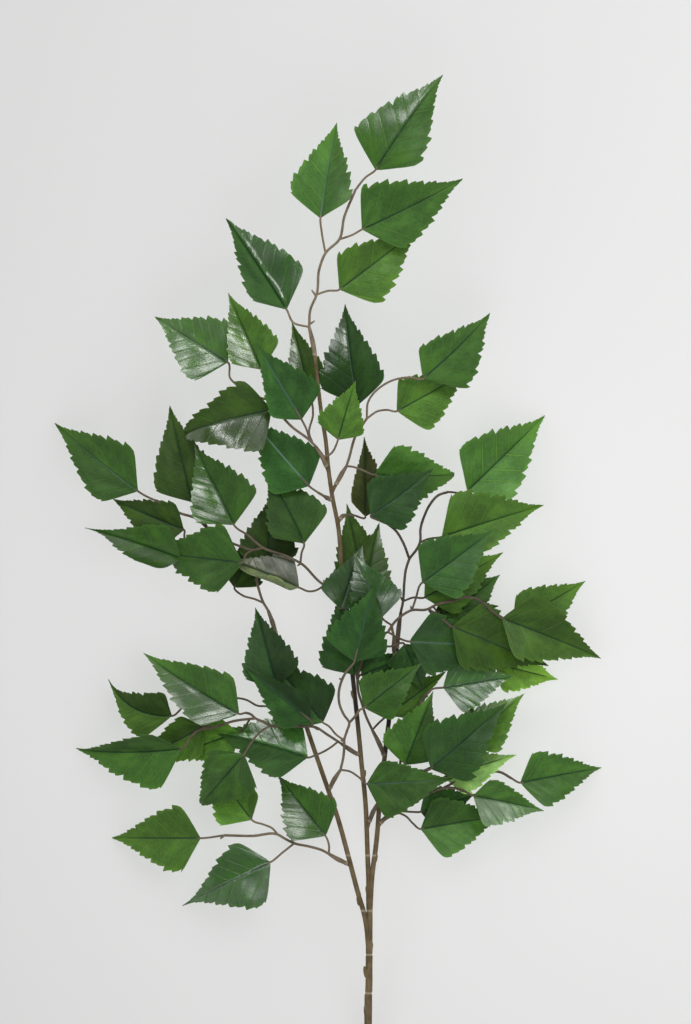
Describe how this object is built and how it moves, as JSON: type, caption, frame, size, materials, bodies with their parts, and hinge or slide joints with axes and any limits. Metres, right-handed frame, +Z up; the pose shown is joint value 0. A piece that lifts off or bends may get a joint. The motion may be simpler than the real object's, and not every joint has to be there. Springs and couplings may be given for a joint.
{
  "type": "artificial birch spray",
  "caption": "Lying artificial birch spray: a forked, covered stem with jointed side sprays of toothed, pointed leaves on thin wires.",
  "frame": {"origin": "middle of the part's box, on the surface that it lies on", "axes": "+Y from the cut end of the stem to the top leaf, +Z up out of the leaves' upper faces"},
  "size_m": [0.4404, 0.8502, 0.0801],
  "materials": {
    "stem": "brown plastic cover over wire, dull, with ring marks and buds",
    "leaf": "pressed and coated leaf fabric, satin, several greens, on brown covered wires"
  },
  "bodies": {
    "root": {"stem": "stem", "crown_spray": "leaf", "upper_left_spray": "leaf", "upper_right_spray": "leaf", "left_leaf": "leaf", "right_leaf": "leaf", "left_upper_spray": "leaf", "left_fork_tip_spray": "leaf", "right_fork_tip_spray": "leaf", "right_mid_spray": "leaf", "centre_spray": "leaf", "centre_right_leaf": "leaf", "left_mid_spray": "leaf", "left_fork_side_spray": "leaf", "lower_left_spray": "leaf", "lower_centre_spray": "leaf", "lower_right_spray": "leaf"}
  },
  "joints": []
}
